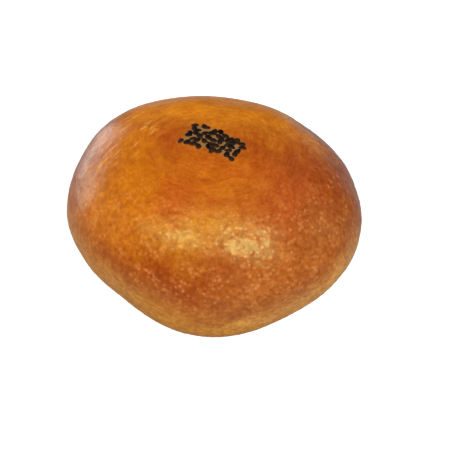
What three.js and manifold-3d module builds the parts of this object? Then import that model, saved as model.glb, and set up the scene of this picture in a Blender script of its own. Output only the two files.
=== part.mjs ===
// A red bean bun, uncut: one round, top-heavy bun of soft dough on a small flat foot, with a short
// stamped band of black sesame seeds baked on to its crown. Millimetres, +Z up, +Y to the back,
// with the origin at the bottom centre of the bun's box.
import * as THREE from "three";
import { mergeVertices } from "three/addons/utils/BufferGeometryUtils.js";
import Module from "manifold-3d";

// The bun's side, from the middle of the crown out to the waist and in again to the foot
const WIDTH = 96; // across the waist
const HEIGHT = 58; // at the middle of the crown
const WAIST_HEIGHT = 26.5; // where the bun is widest
const FOOT_WIDTH = 45; // across the flat that it stands on
const CROWN_REACH = 0.51; // how far out the crown stays level, as a share of the half width
const SHOULDER_RISE = 0.6; // how far the side stays upright above the waist, as a share of the way up
const FLANK_DROP = 0.54; // how far it stays upright below the waist, as a share of the way down
const FOOT_FLARE = 0.47; // how far the flank runs in level to the foot, as a share of the way in

// What keeps it from being a turned shape: the plan's lobes, an oval foot, a shoulder that is fuller
// at the left back and flatter at the right back, and a right side that sank a little in the oven
const DEPTH_PER_WIDTH = 0.887;
const PLAN_LOBES = [
  { count: 3, share: 0.027, turnDeg: 65 },
  { count: 4, share: 0.011, turnDeg: 65 },
];
const SHOULDER_LOBES = [
  { count: 2, share: 0.04, turnDeg: 135 },
  { count: 3, share: 0.038, turnDeg: 7 },
];
const FOOT_LOBES = [
  { count: 2, share: 0.13, turnDeg: 85 },
  { count: 4, share: 0.06, turnDeg: 83 },
];
const FOOT_SHIFT = { x: 0, y: -1.8 };
const SHOULDER_SHIFT = { x: -1.2, y: 1.7 };
const CROWN_SHIFT = { x: -1, y: 0.3 };
const SLUMP = 0.03; // height lost at the right side, and gained at the left, as a share

// Gentle swells in the baked crust, which fade out towards the foot so that it stays flat
const SWELL_COUNT = 14;
const SWELL_LENGTHS = { shortest: 13, longest: 36 };
const SWELL_HEIGHT = 0.07; // of each of the waves that add up
const SWELL_FADE_HEIGHT = 12;

// The band of sesame seeds on the crown, longest from the left back to the right front, where it is
// a little narrower
const BAND = { x: -1.1, y: -1.8, length: 19.3, width: 10.4, turnDeg: -28.5 };
const BAND_TAPER = 0.1; // narrowing of the right end, and widening of the left one, as a share
const BAND_COLUMNS = 9;
const BAND_ROWS = 5;
const SEED = { length: 2.65, width: 1.75, thickness: 0.9 };
const SEED_TAPER = 0.28; // narrowing of the pointed end, and widening of the blunt one, as a share
const SEED_SIZE_SPREAD = 0.12; // largest difference from the usual size, as a share
const SEED_STRAY = 0.32; // how far a seed lies from the middle of its place, as a share of the place
const SEED_TILT_DEG = 9;
const SEED_RISE = 0.08; // how far its middle stands above the crust, as a share of its thickness
const SEED_DRAW = 7672;

// How finely the curved surfaces are divided
const CRUST_DETAIL = 18;
const SEED_SIDES = 6;
const SEED_RINGS = 4;

const HALF_WIDTH = WIDTH / 2;
const SHOULDER_PEAK = 27 / 4; // brings the largest value of up * up * (1 - up) to 1
const GOLDEN_ANGLE = Math.PI * (3 - Math.sqrt(5));
const { clamp, degToRad, lerp } = THREE.MathUtils;

const wasm = await Module();
wasm.setup();

// Half of the bun's outline, as a path of radius and height from the crown to the middle of the foot.
function sideProfile() {
  const footRadius = FOOT_WIDTH / 2;
  const shoulder = lerp(WAIST_HEIGHT, HEIGHT, SHOULDER_RISE);
  const flank = WAIST_HEIGHT * (1 - FLANK_DROP);
  const flare = lerp(footRadius, HALF_WIDTH, FOOT_FLARE);
  const profile = new THREE.Path();
  profile.moveTo(0, HEIGHT);
  profile.bezierCurveTo(CROWN_REACH * HALF_WIDTH, HEIGHT, HALF_WIDTH, shoulder, HALF_WIDTH, WAIST_HEIGHT);
  profile.bezierCurveTo(HALF_WIDTH, flank, flare, 0, footRadius, 0);
  profile.lineTo(0, 0);
  return profile;
}

// How far lobes push the outline out at an angle, as a share of the radius.
function lobeReach(lobes, angle) {
  let reach = 0;
  for (const { count, share, turnDeg } of lobes) reach += share * Math.cos(count * (angle - degToRad(turnDeg)));
  return reach;
}

// How much a height takes of what is uneven at the foot, the shoulder and the crown, smoothly from none
// at the waist. The shoulder's share is largest two thirds of the way up to the crown, where it is 1.
function unevenShares(height) {
  const down = clamp(1 - height / WAIST_HEIGHT, 0, 1);
  const up = clamp((height - WAIST_HEIGHT) / (HEIGHT - WAIST_HEIGHT), 0, 1);
  return { foot: down ** 2, shoulder: SHOULDER_PEAK * up ** 2 * (1 - up), crown: up ** 2 };
}

// The height of the swells at a point: waves that run in directions spread evenly over a sphere.
function swellAt(point) {
  let sum = 0;
  for (let wave = 0; wave < SWELL_COUNT; wave++) {
    const share = (wave + 0.5) / SWELL_COUNT;
    const slope = Math.acos(1 - 2 * share);
    const direction = new THREE.Vector3().setFromSphericalCoords(1, slope, wave * GOLDEN_ANGLE);
    const length = lerp(SWELL_LENGTHS.longest, SWELL_LENGTHS.shortest, share);
    sum += Math.sin((2 * Math.PI * direction.dot(point)) / length + wave);
  }
  return SWELL_HEIGHT * sum * clamp(point.z / SWELL_FADE_HEIGHT, 0, 1);
}

// A point of the crust for an outward direction: its slope from the crown gives the way along the
// profile, and its heading gives the way around.
function crustPoint(profile, outward) {
  const along = Math.acos(clamp(outward.z, -1, 1)) / Math.PI;
  const angle = Math.atan2(outward.y, outward.x);
  const { x: radius, y: height } = profile.getPoint(along);
  const { foot, shoulder, crown } = unevenShares(height);
  const uneven = shoulder * lobeReach(SHOULDER_LOBES, angle) + foot * lobeReach(FOOT_LOBES, angle);
  const reach = radius * (1 + lobeReach(PLAN_LOBES, angle) + uneven);
  const point = new THREE.Vector3(reach * Math.cos(angle), reach * Math.sin(angle) * DEPTH_PER_WIDTH, height);
  for (const axis of ["x", "y"]) {
    point[axis] += foot * FOOT_SHIFT[axis] + shoulder * SHOULDER_SHIFT[axis] + crown * CROWN_SHIFT[axis];
  }
  point.z *= 1 - (SLUMP * point.x) / HALF_WIDTH;
  return point.addScaledVector(outward, swellAt(point));
}

// The bun without its seeds, as one closed surface of even triangles.
function bunBody() {
  const profile = sideProfile();
  const ball = new THREE.IcosahedronGeometry(1, CRUST_DETAIL);
  ball.deleteAttribute("normal");
  ball.deleteAttribute("uv");
  const body = mergeVertices(ball);
  const places = body.attributes.position;
  const outward = new THREE.Vector3();
  for (let i = 0; i < places.count; i++) {
    outward.fromBufferAttribute(places, i).normalize();
    places.setXYZ(i, ...crustPoint(profile, outward));
  }
  return body;
}

// Draws numbers from -1 to 1, the same ones on every run.
function seededDraw(start) {
  let state = start;
  return () => {
    state = (Math.imul(state, 1664525) + 1013904223) >>> 0;
    return state / 2 ** 31 - 1;
  };
}

// One sesame seed at the origin, long in Y and flat in Z, with its pointed end to +Y.
function seedGeometry(size) {
  const seed = new THREE.SphereGeometry(1, SEED_SIDES, SEED_RINGS);
  seed.deleteAttribute("normal");
  seed.deleteAttribute("uv");
  const places = seed.attributes.position;
  for (let i = 0; i < places.count; i++) {
    const narrow = 1 - SEED_TAPER * places.getY(i);
    places.setX(i, places.getX(i) * narrow);
    places.setZ(i, places.getZ(i) * narrow);
  }
  seed.scale((size * SEED.width) / 2, (size * SEED.length) / 2, (size * SEED.thickness) / 2);
  return mergeVertices(seed);
}

// All the seeds, each lying on the crust in its own place of the band, turned any way.
function crownSeeds(body) {
  const draw = seededDraw(SEED_DRAW);
  const crust = new THREE.Mesh(body);
  const down = new THREE.Vector3(0, 0, -1);
  const seeds = [];
  for (let row = 0; row < BAND_ROWS; row++) {
    for (let column = 0; column < BAND_COLUMNS; column++) {
      const along = ((column + 0.5 + SEED_STRAY * draw()) / BAND_COLUMNS - 0.5) * BAND.length;
      const width = BAND.width * (1 - (2 * BAND_TAPER * along) / BAND.length);
      const across = ((row + 0.5 + SEED_STRAY * draw()) / BAND_ROWS - 0.5) * width;
      const heading = Math.PI * draw();
      const lean = new THREE.Euler(degToRad(SEED_TILT_DEG) * draw(), degToRad(SEED_TILT_DEG) * draw(), heading);
      const size = 1 + SEED_SIZE_SPREAD * draw();
      const place = new THREE.Vector2(along, across).rotateAround(new THREE.Vector2(), degToRad(BAND.turnDeg));
      const above = new THREE.Vector3(BAND.x + place.x, BAND.y + place.y, 2 * HEIGHT);
      const [{ point, face }] = new THREE.Raycaster(above, down).intersectObject(crust);
      const seat = new THREE.Quaternion().setFromUnitVectors(new THREE.Vector3(0, 0, 1), face.normal);
      const turn = seat.multiply(new THREE.Quaternion().setFromEuler(lean));
      point.addScaledVector(face.normal, SEED_RISE * SEED.thickness);
      seeds.push(seedGeometry(size).applyQuaternion(turn).translate(point.x, point.y, point.z));
    }
  }
  return seeds;
}

// A closed surface as a solid that can be joined to others.
function solidOf({ attributes, index }) {
  const triVerts = new Uint32Array(index.array);
  return new wasm.Manifold(new wasm.Mesh({ numProp: 3, vertProperties: attributes.position.array, triVerts }));
}

// The bun with its seeds fused on, standing on the origin.
function bunGeometry() {
  const body = bunBody();
  const fused = crownSeeds(body).reduce((bun, seed) => bun.add(solidOf(seed)), solidOf(body)).getMesh();
  const geometry = new THREE.BufferGeometry();
  geometry.setAttribute("position", new THREE.BufferAttribute(fused.vertProperties, 3));
  geometry.setIndex(new THREE.BufferAttribute(fused.triVerts, 1));
  geometry.computeBoundingBox();
  const { min, max } = geometry.boundingBox;
  geometry.translate(-(min.x + max.x) / 2, -(min.y + max.y) / 2, -min.z);
  geometry.computeVertexNormals();
  return geometry;
}

const eggWashedCrust = new THREE.MeshStandardMaterial({ color: 0xc06c1c, roughness: 0.4, metalness: 0 });
const bun = new THREE.Mesh(bunGeometry(), eggWashedCrust);
bun.name = "bun";

const part = new THREE.Group();
part.add(bun);

export default part;
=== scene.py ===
"""Red bean bun: a blistered, egg-washed crust and a band of black sesame seeds, in a plain studio."""

import logging
import math
from collections.abc import Callable, Iterator
from dataclasses import dataclass, field
from enum import Enum
from functools import partial

import bmesh
import bpy
import numpy as np
from mathutils import Color, Euler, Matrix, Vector, noise
from mathutils.bvhtree import BVHTree


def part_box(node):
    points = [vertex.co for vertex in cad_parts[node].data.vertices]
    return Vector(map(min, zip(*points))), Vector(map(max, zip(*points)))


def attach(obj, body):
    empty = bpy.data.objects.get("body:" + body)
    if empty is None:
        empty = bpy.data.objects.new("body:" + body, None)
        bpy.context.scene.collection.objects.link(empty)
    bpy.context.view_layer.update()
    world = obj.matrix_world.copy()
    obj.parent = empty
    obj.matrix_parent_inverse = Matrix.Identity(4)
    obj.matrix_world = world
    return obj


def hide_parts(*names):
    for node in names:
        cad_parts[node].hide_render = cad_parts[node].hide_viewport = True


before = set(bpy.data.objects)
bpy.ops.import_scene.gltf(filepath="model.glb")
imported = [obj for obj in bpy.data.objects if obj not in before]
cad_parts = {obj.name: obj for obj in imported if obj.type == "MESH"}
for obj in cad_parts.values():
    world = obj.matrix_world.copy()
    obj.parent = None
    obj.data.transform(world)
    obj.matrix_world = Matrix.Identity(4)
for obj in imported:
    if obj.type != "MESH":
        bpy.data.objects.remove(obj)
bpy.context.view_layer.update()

log = logging.getLogger("red_bean_bun")

MM = 0.001  # metres in a millimetre
BUN_NODE = "bun"
BODY = "root"
UP = Vector((0.0, 0.0, 1.0))

AddNode = Callable[..., bpy.types.NodeSocket]


class Slot(Enum):
    """The record's material slots."""

    CRUST = "crust"
    SESAME = "sesame"


class Mark(Enum):
    """What a mesh holds at each of its vertices for its material to read."""

    BLISTER = "blister"
    STAMP = "stamp_and_shade"
    SEED_TONE = "seed_tone"


def linear(hex_colour: str) -> tuple[float, float, float, float]:
    """Turn an sRGB colour into linear channels.

    Args:
        hex_colour: The colour as "#rrggbb".

    Returns:
        Linear red, green and blue, and a full alpha.
    """
    channels = [level / 255 for level in bytes.fromhex(hex_colour.lstrip("#"))]
    return (*Color(channels).from_srgb_to_scene_linear(), 1.0)


def per_metre(size_mm: float) -> float:
    """Return the scale that makes a pattern's cells about this many millimetres wide."""
    return 1.0 / (size_mm * MM)


def add_node(
    tree: bpy.types.NodeTree,
    kind: str,
    inputs: dict[str, object] | None = None,
    output: str | None = None,
    **settings: object,
) -> bpy.types.NodeSocket | None:
    """Add a shader node with its settings and links.

    Args:
        tree: The node tree that gets it.
        kind: The node's type.
        inputs: A value, or another node's output, for each input by its identifier.
        output: The name of the wanted output, or None for the first one in use.
        settings: The node's own properties.

    Returns:
        The wanted output, or None for a node without outputs.
    """
    node = tree.nodes.new(kind)
    for name, value in settings.items():
        setattr(node, name, value)
    sockets = {socket.identifier: socket for socket in node.inputs}
    for identifier, value in (inputs or {}).items():
        if isinstance(value, bpy.types.NodeSocket):
            tree.links.new(value, sockets[identifier])
        else:
            sockets[identifier].default_value = value
    if output:
        return node.outputs[output]
    return next((socket for socket in node.outputs if socket.enabled), None)


def new_material(name: str) -> bpy.types.Material:
    """Start a material.

    Args:
        name: What it is and how its surface was made.

    Returns:
        A material with an empty node tree.
    """
    material = bpy.data.materials.new(name)
    material.use_nodes = True
    material.node_tree.nodes.clear()
    return material


def to_object(name: str, shape: bmesh.types.BMesh, material: bpy.types.Material) -> bpy.types.Object:
    """Turn a finished shape into a smooth object at the origin.

    Args:
        name: The object's name.
        shape: The shape in metres, which is freed.
        material: What it is made of.

    Returns:
        The new object, linked to the scene.
    """
    mesh = bpy.data.meshes.new(name)
    shape.to_mesh(mesh)
    shape.free()
    mesh.shade_smooth()
    mesh.materials.append(material)
    piece = bpy.data.objects.new(name, mesh)
    bpy.context.scene.collection.objects.link(piece)
    return piece


def bezier(corners: np.ndarray, steps: int) -> np.ndarray:
    """Sample a cubic curve.

    Args:
        corners: Its four control points, one a row.
        steps: How many stretches to divide it into.

    Returns:
        Its points, one a row.
    """
    t = np.linspace(0.0, 1.0, steps + 1)[:, None]
    weights = ((1 - t) ** 3, 3 * t * (1 - t) ** 2, 3 * t**2 * (1 - t), t**3)
    return sum(weight * corner for weight, corner in zip(weights, corners))


@dataclass(frozen=True)
class Lobes:
    """Even lobes around the bun."""

    count: int
    share: float
    turn_deg: float

    def reach(self, angle: np.ndarray) -> np.ndarray:
        """Return how far they push the outline out at each angle, as a share of the radius."""
        return self.share * np.cos(self.count * (angle - math.radians(self.turn_deg)))


@dataclass(frozen=True)
class BunForm:
    """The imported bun's form in millimetres: a turned side made uneven by lobes, shifts and a slump."""

    width: float = 96.0  # across the waist
    height: float = 58.0  # at the middle of the crown
    waist_height: float = 26.5  # where the bun is widest
    foot_width: float = 45.0  # across the flat that it stands on
    crown_reach: float = 0.51  # how far out the crown stays level, as a share of the half width
    shoulder_rise: float = 0.6  # how far the side stays upright above the waist, as a share of the way
    flank_drop: float = 0.54  # and below it
    foot_flare: float = 0.47  # how far the flank runs in level to the foot, as a share of the way in
    depth_per_width: float = 0.887
    plan_lobes: tuple[Lobes, ...] = (Lobes(3, 0.027, 65.0), Lobes(4, 0.011, 65.0))
    shoulder_lobes: tuple[Lobes, ...] = (Lobes(2, 0.04, 135.0), Lobes(3, 0.038, 7.0))
    foot_lobes: tuple[Lobes, ...] = (Lobes(2, 0.13, 85.0), Lobes(4, 0.06, 83.0))
    foot_shift: tuple[float, float] = (0.0, -1.8)
    shoulder_shift: tuple[float, float] = (-1.2, 1.7)
    crown_shift: tuple[float, float] = (-1.0, 0.3)
    shoulder_peak: float = 27 / 4  # brings the largest value of up * up * (1 - up) to 1
    slump: float = 0.03  # height lost at the right side, and gained at the left, as a share
    swell_count: int = 14
    swell_longest: float = 36.0
    swell_shortest: float = 13.0
    swell_height: float = 0.07  # of each of the waves that add up
    swell_fade_height: float = 12.0  # they are at their full height from here up
    curve_steps: int = 400

    def side(self) -> np.ndarray:
        """Draw half of the outline, from the crown to the middle of the foot.

        Returns:
            Its points, as rows of radius and height.
        """
        half, foot = self.width / 2, self.foot_width / 2
        shoulder = self.waist_height + self.shoulder_rise * (self.height - self.waist_height)
        flank = self.waist_height * (1 - self.flank_drop)
        flare = foot + self.foot_flare * (half - foot)
        waist = (half, self.waist_height)
        crown = ((0.0, self.height), (self.crown_reach * half, self.height))
        upper = np.array([*crown, (half, shoulder), waist])
        lower = np.array([waist, (half, flank), (flare, 0.0), (foot, 0.0)])
        curves = [bezier(upper, self.curve_steps), bezier(lower, self.curve_steps)[1:]]
        return np.concatenate([*curves, [(0.0, 0.0)]])

    def swell(self, points: np.ndarray) -> np.ndarray:
        """Add up the crust's gentle swells, which fade towards the foot.

        Args:
            points: Points of the crust in millimetres, one a row.

        Returns:
            The height of the swells at each point.
        """
        golden_angle = math.pi * (3 - math.sqrt(5))
        total = np.zeros(len(points))
        for wave in range(self.swell_count):
            share = (wave + 0.5) / self.swell_count
            slope = math.acos(1 - 2 * share)
            turn = wave * golden_angle
            level = math.sin(slope)
            heading = (level * math.sin(turn), math.cos(slope), level * math.cos(turn))
            length = self.swell_longest + share * (self.swell_shortest - self.swell_longest)
            total += np.sin(2 * math.pi * (points @ heading) / length + wave)
        return self.swell_height * total * np.clip(points[:, 2] / self.swell_fade_height, 0.0, 1.0)

    def points(self, outward: np.ndarray) -> np.ndarray:
        """Place the crust.

        Args:
            outward: Unit directions, one a row. The slope from the crown gives the way along the side.

        Returns:
            The point of the crust for each direction.
        """
        side = self.side()
        lengths = np.concatenate([[0.0], np.cumsum(np.linalg.norm(np.diff(side, axis=0), axis=1))])
        along = np.arccos(np.clip(outward[:, 2], -1.0, 1.0)) / math.pi * lengths[-1]
        radius, height = (np.interp(along, lengths, side[:, column]) for column in (0, 1))
        angle = np.arctan2(outward[:, 1], outward[:, 0])
        down = np.clip(1 - height / self.waist_height, 0.0, 1.0)
        up = np.clip((height - self.waist_height) / (self.height - self.waist_height), 0.0, 1.0)
        foot, shoulder, crown = down**2, self.shoulder_peak * up**2 * (1 - up), up**2
        reach = radius.copy()
        uneven = ((1.0, self.plan_lobes), (shoulder, self.shoulder_lobes), (foot, self.foot_lobes))
        for share, lobes in uneven:
            reach += radius * share * sum(lobe.reach(angle) for lobe in lobes)
        depth = reach * np.sin(angle) * self.depth_per_width
        points = np.stack([reach * np.cos(angle), depth, height], axis=1)
        shifts = ((foot, self.foot_shift), (shoulder, self.shoulder_shift), (crown, self.crown_shift))
        for share, shift in shifts:
            points[:, :2] += share[:, None] * shift
        points[:, 2] *= 1 - self.slump * points[:, 0] / (self.width / 2)
        return points + outward * self.swell(points)[:, None]


@dataclass(frozen=True)
class Blisters:
    """One size of the blisters that steam raises in the crust, in millimetres."""

    spacing: float
    height: float
    widest: float  # radius of the largest, as a share of the spacing
    offset: float  # moves the pattern, so that two sizes don't line up
    smallest: float = 0.3  # size of the smallest, as a share of the largest
    bend: float = 0.35  # how far they are from round, as a share of the spacing
    tell_apart: float = 97.0  # brings the centres far enough apart for each to have a size of its own

    def rise(self, place: Vector) -> float:
        """Return how far up a blister a place lies.

        Args:
            place: The place in millimetres.

        Returns:
            A share from 0 beside the blister to 1 on top of the largest.
        """
        scaled = place / self.spacing + Vector.Fill(3, self.offset)
        distances, centres = noise.voronoi(scaled + noise.noise_vector(scaled) * self.bend)
        size = self.smallest + (1 - self.smallest) * abs(noise.cell(centres[0] * self.tell_apart))
        return size * max(0.0, 1 - (distances[0] / (self.widest * size)) ** 2) ** 2


@dataclass(frozen=True)
class Clouds:
    """A cloudy pattern in the crust, with shades and depths of its own on the flank and the crown."""

    size: float  # width of its patches in millimetres
    detail: float  # how finely they break up
    flank_shade: float = 0.0  # how strongly it darkens and lightens the colour
    crown_shade: float = 0.0
    flank_depth: float = 0.0  # how far it raises the crust in millimetres
    crown_depth: float = 0.0


@dataclass(frozen=True)
class BakeAndLight:
    """One shade of the crust, along a heading across the bun: mostly browning, partly painted light and
    shade.
    """

    colour: str
    heading: tuple[float, float, float]
    start: float  # millimetres along the heading where it begins to show
    full: float  # and where it is all that shows


@dataclass(frozen=True)
class CrustPatterns:
    """What the crust's colour, gloss and relief all read."""

    place: bpy.types.NodeSocket
    height: bpy.types.NodeSocket
    crown: bpy.types.NodeSocket  # 1 on the smooth crown, 0 on the rougher flank
    blister: bpy.types.NodeSocket
    pimples: bpy.types.NodeSocket
    stamp_and_shade: bpy.types.NodeSocket
    patches: bpy.types.NodeSocket
    mottle: bpy.types.NodeSocket
    pebbles: bpy.types.NodeSocket
    grain: bpy.types.NodeSocket
    streaks: bpy.types.NodeSocket


@dataclass(frozen=True)
class EggWashedCrust:
    """Enriched dough that browned in the oven under a brushed coat of egg.

    The eye sees a clear, saturated amber under a soft golden gloss. On the crown the stretched skin has
    fine streaks around it, and fine creases at the left back carry painted glints. Lower down, fine
    blisters break it into pale specks, partly painted glints, and the foot is dull. The paler back, the
    darker left back and the pinker lower right are painted light, shade and reflection.
    """

    golden: str = "#a0490f"  # the crown and shoulders
    amber: str = "#a9590f"  # paler patches of them
    bakes_and_light: tuple[BakeAndLight, ...] = (
        BakeAndLight("#ad5e0a", (-1.0, -0.2, 0.0), 14.0, 30.0),  # amber at the left
        BakeAndLight("#a05a0b", (0.2, -0.95, 0.0), 20.0, 30.0),  # a browner one at the front
        BakeAndLight("#984417", (1.0, -0.4, -0.35), -8.0, 16.0),  # russet at the right
        BakeAndLight("#d67d14", (0.05, 1.0, 0.0), -4.0, 20.0),  # paler honey at the back: painted light
        BakeAndLight("#86461c", (-1.0, 0.3, 0.3), 45.0, 57.0),  # darker brown at the left back: painted shade
        BakeAndLight("#863608", (0.11, 0.0, -1.0), -48.0, -34.0),  # chestnut on the flank
        BakeAndLight("#914a18", (0.6, -0.6, -0.5), 3.0, 20.0),  # paler brown at the lower right, partly painted reflection
        BakeAndLight("#b07020", (-0.5, -0.2, -1.0), -16.5, 3.5),  # tan at the foot's left
        BakeAndLight("#ba7e38", (0.45, -0.15, -1.0), -11.0, -1.5),  # and its right
        BakeAndLight("#ae7020", (0.0, 0.0, -1.0), -16.0, -6.0),  # straw all around the foot
        BakeAndLight("#8c5a28", (0.0, 0.0, -1.0), -4.5, 1.0),  # tan underneath
    )
    stamp_and_shade: str = "#86683c"  # the bare patch under the seeds, darkened with painted shade between them
    stamp_share: float = 0.8
    speck_and_glint: str = "#c07c42"  # the blisters' thin, paler skin, with a painted glint on top
    crown_low: float = 45.0  # the crown's smoother skin begins here
    crown_high: float = 55.0  # and is all there is from here up
    patch: Clouds = Clouds(15.0, 3.0)
    mottle: Clouds = Clouds(5.0, 3.0, flank_shade=0.6, crown_shade=0.6)
    pebble: Clouds = Clouds(
        1.6, 1.0, flank_shade=1.2, crown_shade=0.5, flank_depth=0.03, crown_depth=0.025,
    )
    grain: Clouds = Clouds(
        0.7, 2.0, flank_shade=0.6, crown_shade=0.5, flank_depth=0.008, crown_depth=0.008,
    )
    streak: Clouds = Clouds(1.0, 3.0, flank_shade=0.2, crown_shade=1.0, crown_depth=0.06)
    cloud_tint: tuple[float, float, float] = (0.7, 1.2, 1.6)  # how much of a shade each channel takes
    streak_length: float = 8.0
    streak_radius: float = 28.0  # how far from the middle of the crown the streaks are that long
    streak_stray: float = 5.0  # how far the mottle bends them
    painted_glint: str = "#e2a650"  # painted glints on fine creases at the left back
    crease_glint_heading: tuple[float, float, float] = (-0.75, 0.35, 1.2)
    crease_glint_start: float = 80.5  # millimetres along the heading where they begin to show
    crease_glint_full: float = 85.0  # and where they are strongest
    crease_glint_turn_deg: float = 36.0
    crease_glint_length: float = 5.0
    crease_glint_width: float = 1.5
    crease_glint_levels: tuple[float, float] = (0.58, 0.71)  # of the lines that show as creases with painted glints
    painted_glint_share: float = 0.5
    crease_height: float = 0.05
    break_up: float = 0.6  # how strongly the clouds break up
    patch_stray: float = 8.0  # how far the patches can move the edge of each shade
    amber_levels: tuple[float, float] = (0.4, 0.65)  # of the patches that turn amber
    flank_specks: float = 0.6  # how strongly the specks can show
    crown_specks: float = 0.05
    speck_levels: tuple[float, float] = (0.3, 0.65)  # of the clouds that thin the specks out
    pimple_spacing: float = 1.7  # the finest blisters, too small for the mesh
    pimple_widest: float = 0.55  # radius of the largest, as a share of the spacing
    pimple_bend: float = 0.5  # how far they are from round, as a share of the spacing
    flank_pimples: float = 0.035  # how high they stand in millimetres
    crown_pimples: float = 0.02
    middle: float = 0.5  # the middle level of the clouds
    roughness: float = 0.335
    foot_roughness: float = 0.75
    foot_low: float = 6.0  # the crust is dullest from here down
    foot_high: float = 36.0  # and glossiest from here up
    gloss: float = 0.38
    gloss_tint: str = "#ecf898"
    egg_ior: float = 1.45

    def patterns(self, add: AddNode) -> CrustPatterns:
        """Lay out the patterns of the crust.

        Args:
            add: Adds a node to the material.

        Returns:
            The patterns.
        """
        place = add("ShaderNodeTexCoord", output="Object")
        height = add("ShaderNodeSeparateXYZ", {"Vector": place}, output="Z")
        crown = add("ShaderNodeMapRange", {
            "Value": height, "From Min": self.crown_low * MM, "From Max": self.crown_high * MM,
        }, interpolation_type="SMOOTHSTEP")

        # The streaks run around the middle of the crown, so they are drawn on heading and way down
        mottle = add("ShaderNodeTexNoise", {
            "Vector": place, "Scale": per_metre(self.mottle.size), "Detail": self.mottle.detail,
        })
        level = add("ShaderNodeVectorMath", {
            "Vector": place, "Vector_001": (1.0, 1.0, 0.0),
        }, operation="MULTIPLY")
        reach = add("ShaderNodeVectorMath", {"Vector": level}, output="Value", operation="LENGTH")
        way_down = add("ShaderNodeMath", {"Value": reach, "Value_001": height}, operation="SUBTRACT")
        way_down = add("ShaderNodeMath", {
            "Value": mottle, "Value_001": self.streak_stray * MM, "Value_002": way_down,
        }, operation="MULTIPLY_ADD")
        around = self.streak_radius / self.streak_length * self.streak.size * MM
        ring = add("ShaderNodeVectorMath", {
            "Vector": add("ShaderNodeVectorMath", {"Vector": level}, operation="NORMALIZE"),
            "Vector_001": (around, around, 0.0),
            "Vector_002": add("ShaderNodeCombineXYZ", {"Z": way_down}),
        }, operation="MULTIPLY_ADD")

        bend = add("ShaderNodeTexNoise", {
            "Vector": place, "Scale": per_metre(self.pimple_spacing),
        }, output="Color")
        bent = add("ShaderNodeVectorMath", {
            "Vector": bend,
            "Vector_001": (self.pimple_bend * self.pimple_spacing * MM,) * 3,
            "Vector_002": place,
        }, operation="MULTIPLY_ADD")
        distance = add("ShaderNodeTexVoronoi", {
            "Vector": bent, "Scale": per_metre(self.pimple_spacing),
        })
        pimples = add("ShaderNodeMapRange", {
            "Value": distance, "From Min": self.pimple_widest, "From Max": 0.0,
        }, interpolation_type="SMOOTHSTEP")

        kinds = {
            "patches": (place, self.patch),
            "pebbles": (place, self.pebble),
            "grain": (place, self.grain),
            "streaks": (ring, self.streak),
        }
        clouds = {
            name: add("ShaderNodeTexNoise", {
                "Vector": where,
                "Scale": per_metre(kind.size),
                "Detail": kind.detail,
                "Roughness": self.break_up,
            })
            for name, (where, kind) in kinds.items()
        }
        return CrustPatterns(
            place=place,
            height=height,
            crown=crown,
            blister=add("ShaderNodeAttribute", output="Fac", attribute_name=Mark.BLISTER.value),
            stamp_and_shade=add("ShaderNodeAttribute", output="Fac", attribute_name=Mark.STAMP.value),
            pimples=pimples,
            mottle=mottle,
            **clouds,
        )

    def bake_and_light(self, add: AddNode, patterns: CrustPatterns) -> bpy.types.NodeSocket:
        """Mix the shades of the bake and of the painted light and shade, with edges that stray with the
        patches.

        Args:
            add: Adds a node to the material.
            patterns: The patterns of the crust.

        Returns:
            The colour without its fine detail.
        """
        low, high = self.amber_levels
        share = add("ShaderNodeMapRange", {
            "Value": patterns.patches, "From Min": low, "From Max": high,
        }, interpolation_type="SMOOTHSTEP")
        colour = add("ShaderNodeMix", {
            "Factor_Float": share, "A_Color": linear(self.golden), "B_Color": linear(self.amber),
        }, data_type="RGBA")
        stray = add("ShaderNodeMapRange", {
            "Value": patterns.patches,
            "To Min": -self.patch_stray * MM,
            "To Max": self.patch_stray * MM,
        }, clamp=False)
        for bake_and_light in self.bakes_and_light:
            way = add("ShaderNodeVectorMath", {
                "Vector": patterns.place, "Vector_001": bake_and_light.heading,
            }, output="Value", operation="DOT_PRODUCT")
            way = add("ShaderNodeMath", {"Value": way, "Value_001": stray}, operation="ADD")
            share = add("ShaderNodeMapRange", {
                "Value": way, "From Min": bake_and_light.start * MM, "From Max": bake_and_light.full * MM,
            }, interpolation_type="SMOOTHSTEP")
            colour = add("ShaderNodeMix", {
                "Factor_Float": share, "A_Color": colour, "B_Color": linear(bake_and_light.colour),
            }, data_type="RGBA")
        return colour

    def specks_and_glints(self, add: AddNode, patterns: CrustPatterns) -> bpy.types.NodeSocket:
        """Spread the pale specks, which are partly painted glints on the blisters and few on the crown.

        Args:
            add: Adds a node to the material.
            patterns: The patterns of the crust.

        Returns:
            How much of a speck shows at each place.
        """
        most = add("ShaderNodeMapRange", {
            "Value": patterns.crown, "To Min": self.flank_specks, "To Max": self.crown_specks,
        })
        marks = add("ShaderNodeMath", {
            "Value": patterns.blister, "Value_001": patterns.pimples,
        }, operation="MAXIMUM")
        low, high = self.speck_levels
        thinned = add("ShaderNodeMapRange", {
            "Value": patterns.mottle, "From Min": low, "From Max": high, "To Max": most,
        }, interpolation_type="SMOOTHSTEP")
        return add("ShaderNodeMath", {
            "Value": marks, "Value_001": thinned,
        }, operation="MULTIPLY", use_clamp=True)

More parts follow.
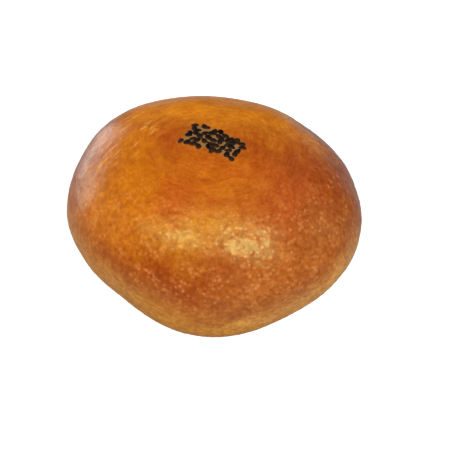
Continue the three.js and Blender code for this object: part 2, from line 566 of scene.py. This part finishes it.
    def creases_and_glints(self, add: AddNode, patterns: CrustPatterns) -> bpy.types.NodeSocket:
        """Draw the fine creases of the left back, which carry painted glints.

        Args:
            add: Adds a node to the material.
            patterns: The patterns of the crust.

        Returns:
            How much of a crease and its painted glint shows at each place.
        """
        way = add("ShaderNodeVectorMath", {
            "Vector": patterns.place, "Vector_001": self.crease_glint_heading,
        }, output="Value", operation="DOT_PRODUCT")
        most = add("ShaderNodeMapRange", {
            "Value": way, "From Min": self.crease_glint_start * MM, "From Max": self.crease_glint_full * MM,
        })
        turned = add("ShaderNodeMapping", {
            "Vector": patterns.place,
            "Rotation": (0.0, 0.0, math.radians(self.crease_glint_turn_deg)),
            "Scale": (self.crease_glint_length * MM, self.crease_glint_width * MM, 1.0),
        }, vector_type="TEXTURE")
        lines = add("ShaderNodeTexNoise", {"Vector": turned, "Scale": 1.0}, noise_dimensions="2D")
        low, high = self.crease_glint_levels
        return add("ShaderNodeMapRange", {
            "Value": lines, "From Min": low, "From Max": high, "To Max": most,
        }, interpolation_type="SMOOTHSTEP")

    def finish(self, add: AddNode, patterns: CrustPatterns) -> dict[str, bpy.types.NodeSocket]:
        """Draw the clouds, specks, creases and bare patch over the mixed shades, and raise the finest
        relief.

        Args:
            add: Adds a node to the material.
            patterns: The patterns of the crust.

        Returns:
            The shader's colour and normal, by the names of its inputs.
        """
        colour = self.bake_and_light(add, patterns)
        creases_and_glints = self.creases_and_glints(add, patterns)
        pimple_height = add("ShaderNodeMapRange", {
            "Value": patterns.crown, "To Min": self.flank_pimples, "To Max": self.crown_pimples,
        })
        rise = add("ShaderNodeMath", {
            "Value": creases_and_glints, "Value_001": self.crease_height,
        }, operation="MULTIPLY")
        rise = add("ShaderNodeMath", {
            "Value": patterns.pimples, "Value_001": pimple_height, "Value_002": rise,
        }, operation="MULTIPLY_ADD")
        layers = (
            (patterns.mottle, self.mottle),
            (patterns.pebbles, self.pebble),
            (patterns.grain, self.grain),
            (patterns.streaks, self.streak),
        )
        for pattern, kind in layers:
            level = add("ShaderNodeMath", {
                "Value": pattern, "Value_001": self.middle,
            }, operation="SUBTRACT")
            strength = add("ShaderNodeMapRange", {
                "Value": patterns.crown, "To Min": kind.flank_shade, "To Max": kind.crown_shade,
            })
            change = add("ShaderNodeMath", {
                "Value": level, "Value_001": strength,
            }, operation="MULTIPLY")
            tint = add("ShaderNodeVectorMath", {
                "Vector": self.cloud_tint, "Scale": change,
            }, operation="SCALE")
            colour = add("ShaderNodeVectorMath", {
                "Vector": colour, "Vector_001": tint, "Vector_002": colour,
            }, operation="MULTIPLY_ADD")
            depth = add("ShaderNodeMapRange", {
                "Value": patterns.crown, "To Min": kind.flank_depth, "To Max": kind.crown_depth,
            })
            rise = add("ShaderNodeMath", {
                "Value": level, "Value_001": depth, "Value_002": rise,
            }, operation="MULTIPLY_ADD")
        glinted = add("ShaderNodeMath", {
            "Value": creases_and_glints, "Value_001": self.painted_glint_share,
        }, operation="MULTIPLY")
        bare_and_shaded = add("ShaderNodeMath", {
            "Value": patterns.stamp_and_shade, "Value_001": self.stamp_share,
        }, operation="MULTIPLY")
        specks_and_glints = self.specks_and_glints(add, patterns)
        # The specks and creases carry painted glints, and the bare patch's darker colour is painted shade
        # between the seeds
        for share, shade in ((specks_and_glints, self.speck_and_glint), (glinted, self.painted_glint), (bare_and_shaded, self.stamp_and_shade)):
            colour = add("ShaderNodeMix", {
                "Factor_Float": share, "A_Color": colour, "B_Color": linear(shade),
            }, data_type="RGBA")
        bumps = add("ShaderNodeBump", {"Height": rise, "Distance": MM, "Strength": 1.0})
        return {"Base Color": colour, "Normal": bumps}

    def make(self) -> bpy.types.Material:
        """Mix the crust's material.

        Returns:
            The material, which is dull at the foot and glossy above.
        """
        material = new_material("egg_washed_crust")
        add = partial(add_node, material.node_tree)
        patterns = self.patterns(add)
        roughness = add("ShaderNodeMapRange", {
            "Value": patterns.height,
            "From Min": self.foot_low * MM,
            "From Max": self.foot_high * MM,
            "To Min": self.foot_roughness,
            "To Max": self.roughness,
        })
        shader = add("ShaderNodeBsdfPrincipled", {
            "Roughness": roughness,
            "IOR": self.egg_ior,
            "Specular IOR Level": self.gloss,
            "Specular Tint": linear(self.gloss_tint),
            **self.finish(add, patterns),
        })
        add("ShaderNodeOutputMaterial", {"Surface": shader})
        return material


@dataclass(frozen=True)
class BlackSesame:
    """Black sesame hulls: near black with a brown cast and a dull oily shine on a netted skin."""

    dark: str = "#0c0603"
    light: str = "#2c190f"
    net_size: float = 0.22  # coarser than on a real hull, so that it shows
    net_depth: float = 0.02
    roughness: float = 0.5
    gloss: float = 0.14
    hull_ior: float = 1.47

    def make(self) -> bpy.types.Material:
        """Mix the seeds' material.

        Returns:
            The material, which reads each seed's own tone.
        """
        material = new_material("black_sesame_hull")
        add = partial(add_node, material.node_tree)
        place = add("ShaderNodeTexCoord", output="Object")
        tone = add("ShaderNodeAttribute", output="Fac", attribute_name=Mark.SEED_TONE.value)
        net = add("ShaderNodeTexVoronoi", {"Vector": place, "Scale": per_metre(self.net_size)})
        colour = add("ShaderNodeMix", {
            "Factor_Float": tone, "A_Color": linear(self.dark), "B_Color": linear(self.light),
        }, data_type="RGBA")
        rise = add("ShaderNodeMath", {"Value": net, "Value_001": -self.net_depth}, operation="MULTIPLY")
        bumps = add("ShaderNodeBump", {"Height": rise, "Distance": MM, "Strength": 1.0})
        shader = add("ShaderNodeBsdfPrincipled", {
            "Base Color": colour,
            "Roughness": self.roughness,
            "IOR": self.hull_ior,
            "Specular IOR Level": self.gloss,
            "Normal": bumps,
        })
        add("ShaderNodeOutputMaterial", {"Surface": shader})
        return material


@dataclass
class Crust:
    """The bun's whole crust as one closed skin of fine relief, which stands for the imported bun."""

    form: BunForm = BunForm()
    cuts: int = 127  # keeps the skin just under 200,000 triangles
    coarse: Blisters = Blisters(spacing=2.6, height=0.13, widest=0.5, offset=0.0)
    fine: Blisters = Blisters(spacing=1.5, height=0.05, widest=0.55, offset=31.7)
    ripple_length: float = 8.0
    ripple_height: float = 0.05
    ripple_fade: float = 1.0  # how fast finer ripples lose height
    ripple_finer: float = 2.0  # how much finer each layer of them is
    ripple_layers: int = 2
    pebble_length: float = 2.4
    pebble_height: float = 0.085
    relief_fade_height: float = 4.0  # the relief fades from here down to the foot
    smooth_height: float = 52.0  # the crown's blisters are low from here up
    rough_height: float = 43.0  # and at their full height from here down
    crown_relief: float = 0.25  # share of the blisters' height that is left on the crown
    first_draw: int = 5  # fixes how the blisters bend, which the noise module draws anew on each run
    shift: Vector = field(init=False)  # from the form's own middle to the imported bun's
    surface: BVHTree = field(init=False)  # the smooth skin, for the seeds to lie on

    def ball(self) -> bmesh.types.BMesh:
        """Blow up a finely divided cube.

        Returns:
            A ball of even four-sided faces.
        """
        ball = bmesh.new()
        bmesh.ops.create_cube(ball, size=2.0)
        bmesh.ops.subdivide_edges(ball, edges=ball.edges, cuts=self.cuts, use_grid_fill=True)
        for vertex in ball.verts:
            vertex.co = Vector(math.tan(side * math.pi / 4) for side in vertex.co).normalized()
        return ball

    def shape(self) -> bmesh.types.BMesh:
        """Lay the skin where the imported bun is, and keep how far it moved and its surface.

        Returns:
            The skin in millimetres, without its fine relief.
        """
        skin = self.ball()
        points = self.form.points(np.array([vertex.co for vertex in skin.verts]))
        low, high = (np.array(corner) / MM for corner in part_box(BUN_NODE))
        self.shift = Vector((low + high - points.min(axis=0) - points.max(axis=0))[:2] / 2).to_3d()
        for vertex, point in zip(skin.verts, points):
            vertex.co = Vector(point) + self.shift
        skin.normal_update()
        self.surface = BVHTree.FromBMesh(skin)
        return skin

    def ripple(self, place: Vector) -> float:
        """Return the height of the ripples at a place, in millimetres."""
        layers = (self.ripple_fade, self.ripple_finer, self.ripple_layers)
        return noise.fractal(place / self.ripple_length, *layers) * self.ripple_height

    def roughen(self, skin: bmesh.types.BMesh, band: "SesameBand") -> None:
        """Raise ripples, pebbles and blisters, and mark each vertex's blister and share of the stamp.

        Args:
            skin: The smooth skin in millimetres.
            band: The band of seeds, which was stamped on a bare patch.
        """
        noise.seed_set(self.first_draw)
        mark = skin.verts.layers.float.new(Mark.BLISTER.value)
        stamp_and_shade = skin.verts.layers.float.new(Mark.STAMP.value)
        for vertex in skin.verts:
            place = vertex.co
            fade = min(place.z / self.relief_fade_height, 1.0)
            down = (self.smooth_height - place.z) / (self.smooth_height - self.rough_height)
            share = self.crown_relief + (1 - self.crown_relief) * min(max(down, 0.0), 1.0)
            share *= fade
            rises = [
                (blisters.rise(place) * share, blisters.height)
                for blisters in (self.coarse, self.fine)
            ]
            relief = self.ripple(place) * fade
            relief += noise.noise(place / self.pebble_length) * self.pebble_height * share
            relief += sum(rise * height for rise, height in rises)
            vertex[mark] = max(rise for rise, _ in rises)
            vertex[stamp_and_shade] = band.cover(place - self.shift)
            vertex.co = place + vertex.normal * relief

    def build(self, band: "SesameBand", material: bpy.types.Material) -> bpy.types.Object:
        """Make the crust.

        Args:
            band: The band of seeds that it carries.
            material: What it is made of.

        Returns:
            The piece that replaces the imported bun.
        """
        skin = self.shape()
        self.roughen(skin, band)
        bmesh.ops.scale(skin, vec=(MM, MM, MM), verts=skin.verts)
        piece = to_object("crust", skin, material)
        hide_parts(BUN_NODE)
        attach(piece, BODY)
        return piece


@dataclass
class SesameBand:
    """The stamped band of black sesame seeds on the crown, in millimetres."""

    x: float = -1.1
    y: float = -1.8
    length: float = 19.3
    width: float = 10.4
    turn_deg: float = -28.5
    band_taper: float = 0.1  # narrowing of the right end, and widening of the left one, as a share
    columns: int = 9
    rows: int = 5
    seed_length: float = 2.65
    seed_width: float = 1.75
    seed_thickness: float = 0.9
    seed_taper: float = 0.28  # narrowing of the pointed end, and widening of the blunt one, as a share
    size_spread: float = 0.12  # largest difference from the usual size, as a share
    stray: float = 0.32  # how far a seed lies from the middle of its place, as a share of the place
    tilt_deg: float = 9.0
    rise: float = 0.08  # how far its middle stands above the crust, as a share of its thickness
    first_draw: int = 7672
    draw_factor: int = 1664525  # common values for draws of 32 bits
    draw_step: int = 1013904223
    draw_range: int = 2**32
    fineness: int = 3  # how finely a seed's ball is divided
    drop_height: float = 100.0  # each seed's place on the crust is looked for from here down
    crown_height: float = 50.0  # the band is on what lies above this
    edge: float = 1.2  # how far inside its edge the stamped patch is at its full share

    def cover(self, place: Vector) -> float:
        """Tell the stamped patch from the crust around it.

        Args:
            place: A place of the bun's form in millimetres.

        Returns:
            A share from 0 outside the patch to 1 well inside it.
        """
        if place.z < self.crown_height:
            return 0.0
        local = Vector((place.x - self.x, place.y - self.y))
        local.rotate(Euler((0, 0, -math.radians(self.turn_deg))).to_matrix().to_2x2())
        inside = min(self.length / 2 - abs(local.x), self.width / 2 - abs(local.y))
        return min(max(inside / self.edge, 0.0), 1.0)

    def draws(self) -> Iterator[float]:
        """Draw numbers, the same ones on every run.

        Yields:
            Numbers from -1 to 1.
        """
        state = self.first_draw
        while True:
            state = (state * self.draw_factor + self.draw_step) % self.draw_range
            yield 2 * state / self.draw_range - 1

    def add_seed(
        self,
        seeds: bmesh.types.BMesh,
        crust: Crust,
        row: int,
        column: int,
        draw: Iterator[float],
    ) -> None:
        """Lay one seed on the crust in its own place of the band.

        Args:
            seeds: The shape that gets it.
            crust: What it lies on.
            row: Its row, from the front of the band.
            column: Its place in the row.
            draw: Where its small differences come from.
        """
        along = ((column + 0.5 + self.stray * next(draw)) / self.columns - 0.5) * self.length
        width = self.width * (1 - 2 * self.band_taper * along / self.length)
        across = ((row + 0.5 + self.stray * next(draw)) / self.rows - 0.5) * width
        heading = math.pi * next(draw)
        tilt = math.radians(self.tilt_deg)
        lean = Euler((tilt * next(draw), tilt * next(draw), heading), "ZYX")
        size = 1 + self.size_spread * next(draw)
        place = Vector((along, across))
        place.rotate(Euler((0, 0, math.radians(self.turn_deg))).to_matrix().to_2x2())
        above = Vector((self.x + place.x, self.y + place.y, self.drop_height)) + crust.shift
        point, normal, _, _ = crust.surface.ray_cast(above, -UP)
        turn = UP.rotation_difference(normal) @ lean.to_quaternion()
        centre = point + normal * self.rise * self.seed_thickness
        half = Vector((self.seed_width, self.seed_length, self.seed_thickness)) * size / 2
        mark = seeds.verts.layers.float[Mark.SEED_TONE.value]
        ball = bmesh.ops.create_icosphere(seeds, subdivisions=self.fineness, radius=1.0)
        for vertex in ball["verts"]:
            narrow = 1 - self.seed_taper * vertex.co.y
            hull = Vector((
                vertex.co.x * narrow * half.x,
                vertex.co.y * half.y,
                vertex.co.z * narrow * half.z,
            ))
            vertex.co = centre + turn @ hull
            vertex[mark] = heading / (2 * math.pi) + 0.5

    def build(self, crust: Crust, material: bpy.types.Material) -> bpy.types.Object:
        """Make all the seeds as one piece.

        Args:
            crust: What they lie on.
            material: What they are made of.

        Returns:
            The seeds.
        """
        seeds = bmesh.new()
        seeds.verts.layers.float.new(Mark.SEED_TONE.value)
        draw = self.draws()
        for row in range(self.rows):
            for column in range(self.columns):
                self.add_seed(seeds, crust, row, column, draw)
        bmesh.ops.scale(seeds, vec=(MM, MM, MM), verts=seeds.verts)
        piece = to_object("sesame_seeds", seeds, material)
        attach(piece, BODY)
        return piece


@dataclass(frozen=True)
class LightPanel:
    """A rectangular softbox or lit card that faces the bun, in metres."""

    name: str
    azimuth_deg: float  # from the front towards the right
    elevation_deg: float
    width: float
    height: float
    distance: float
    radiance: float
    colour: str = "#ffffff"

    def build(self, aim: Vector) -> bpy.types.Object:
        """Hang the panel so that it faces a point.

        Args:
            aim: The point in metres.

        Returns:
            The light.
        """
        azimuth, elevation = math.radians(self.azimuth_deg), math.radians(self.elevation_deg)
        level = math.cos(elevation)
        towards = Vector((math.sin(azimuth) * level, -math.cos(azimuth) * level, math.sin(elevation)))
        lamp = bpy.data.lights.new(self.name, "AREA")
        lamp.shape = "RECTANGLE"
        lamp.size = self.width
        lamp.size_y = self.height
        lamp.energy = self.radiance * math.pi * self.width * self.height
        lamp.color = linear(self.colour)[:3]
        light = bpy.data.objects.new(self.name, lamp)
        light.location = aim + towards * self.distance
        light.rotation_euler = towards.to_track_quat("Z", "Y").to_euler()
        light.visible_camera = False
        bpy.context.scene.collection.objects.link(light)
        return light


@dataclass(frozen=True)
class PhotoCamera:
    """The photograph's viewpoint: in front of the bun and above it, in millimetres."""

    elevation_deg: float = 43.0
    distance: float = 500.0
    lens: float = 121.2
    sensor: float = 36.0
    aim_height: float = 26.5  # level of the waist
    aim_right: float = 2.87  # from there to the middle of the picture
    aim_down: float = 5.27

    def build(self, shift: Vector) -> bpy.types.Object:
        """Set up the camera.

        Args:
            shift: How far the bun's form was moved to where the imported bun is, in millimetres.

        Returns:
            The camera.
        """
        elevation = math.radians(self.elevation_deg)
        back = Vector((0.0, -math.cos(elevation), math.sin(elevation)))
        down = Vector((0.0, -math.sin(elevation), -math.cos(elevation)))
        aim = shift + UP * self.aim_height + Vector((self.aim_right, 0, 0)) + down * self.aim_down
        optics = bpy.data.cameras.new("photo_camera")
        optics.sensor_fit = "HORIZONTAL"
        optics.sensor_width = self.sensor
        optics.lens = self.lens
        camera = bpy.data.objects.new("photo_camera", optics)
        camera.location = (aim + back * self.distance) * MM
        camera.rotation_euler = back.to_track_quat("Z", "Y").to_euler()
        bpy.context.scene.collection.objects.link(camera)
        bpy.context.scene.camera = camera
        return camera


@dataclass(frozen=True)
class Studio:
    """A pale floor under two softboxes beside the camera, with weaker fills and cards around, in metres."""

    floor_width: float = 0.5
    floor_drop: float = 0.2 * MM  # keeps it clear of the bun's foot
    paper: str = "#b8b8b8"
    paper_roughness: float = 0.9
    paper_glow: float = 1.6  # lightens the shadows on it for the camera alone
    ambient: float = 0.08
    aim: tuple[float, float, float] = (0.0, 0.0, 0.03)
    panels: tuple[LightPanel, ...] = (
        LightPanel("left_softbox", -27.0, 46.0, 0.4, 0.4, 4.0, 187.0),
        LightPanel("right_softbox", 24.5, 44.0, 0.34, 0.4, 4.0, 300.0),
        LightPanel("left_fill", -62.0, 38.0, 1.0, 0.8, 4.0, 9.0),
        LightPanel("left_low_fill", -95.0, 10.0, 2.4, 1.6, 4.0, 0.75),
        LightPanel("right_fill", 84.0, 22.0, 2.4, 2.0, 4.0, 1.35),
        LightPanel("front_fill", 0.0, 4.0, 2.0, 1.6, 3.0, 1.2),
        LightPanel("left_card", -131.0, 1.5, 0.8, 0.29, 1.0, 6.4, "#efebff"),
        LightPanel("right_card", 140.0, 0.0, 0.6, 0.15, 1.0, 0.8),
    )

    def build(self) -> bpy.types.Object:
        """Make the floor, the lights and the surrounding light.

        Returns:
            The floor.
        """
        # Matte paper shows no highlight, only the bun's soft shadow
        material = new_material("matte_pale_grey_paper")
        add = partial(add_node, material.node_tree)
        seen = add("ShaderNodeLightPath", output="Is Camera Ray")
        shader = add("ShaderNodeBsdfPrincipled", {
            "Base Color": linear(self.paper),
            "Roughness": self.paper_roughness,
            "Emission Color": linear(self.paper),
            "Emission Strength": add("ShaderNodeMapRange", {"Value": seen, "To Max": self.paper_glow}),
        })
        add("ShaderNodeOutputMaterial", {"Surface": shader})
        paper = bmesh.new()
        bmesh.ops.create_grid(paper, x_segments=1, y_segments=1, size=self.floor_width / 2)
        bmesh.ops.translate(paper, vec=-UP * self.floor_drop, verts=paper.verts)
        floor = to_object("studio_floor", paper, material)
        for panel in self.panels:
            panel.build(Vector(self.aim))
        self.surround()
        return floor

    def surround(self) -> None:
        """Light the bun dimly from all around, with a backdrop that the camera sees as white."""
        world = bpy.data.worlds.new("studio")
        world.use_nodes = True
        world.node_tree.nodes.clear()
        add = partial(add_node, world.node_tree)
        seen = add("ShaderNodeLightPath", output="Is Camera Ray")
        strength = add("ShaderNodeMapRange", {"Value": seen, "To Min": self.ambient, "To Max": 1.0})
        backdrop = add("ShaderNodeBackground", {"Color": (1.0, 1.0, 1.0, 1.0), "Strength": strength})
        add("ShaderNodeOutputWorld", {"Surface": backdrop})
        bpy.context.scene.world = world
        bpy.context.scene.view_settings.view_transform = "Standard"


def report_piece(piece: bpy.types.Object) -> None:
    """Log a piece's name and how many triangles it has."""
    piece.data.calc_loop_triangles()
    log.info("%s: %d triangles", piece.name, len(piece.data.loop_triangles))


def main() -> None:
    """Build the crust, the seeds, the camera and the studio, and report each piece."""
    logging.basicConfig(level=logging.INFO, format="%(message)s")
    crust = Crust()
    band = SesameBand()
    report_piece(crust.build(band, EggWashedCrust().make()))
    report_piece(band.build(crust, BlackSesame().make()))
    report_piece(Studio().build())
    PhotoCamera().build(crust.shift)


if __name__ == "__main__":
    main()
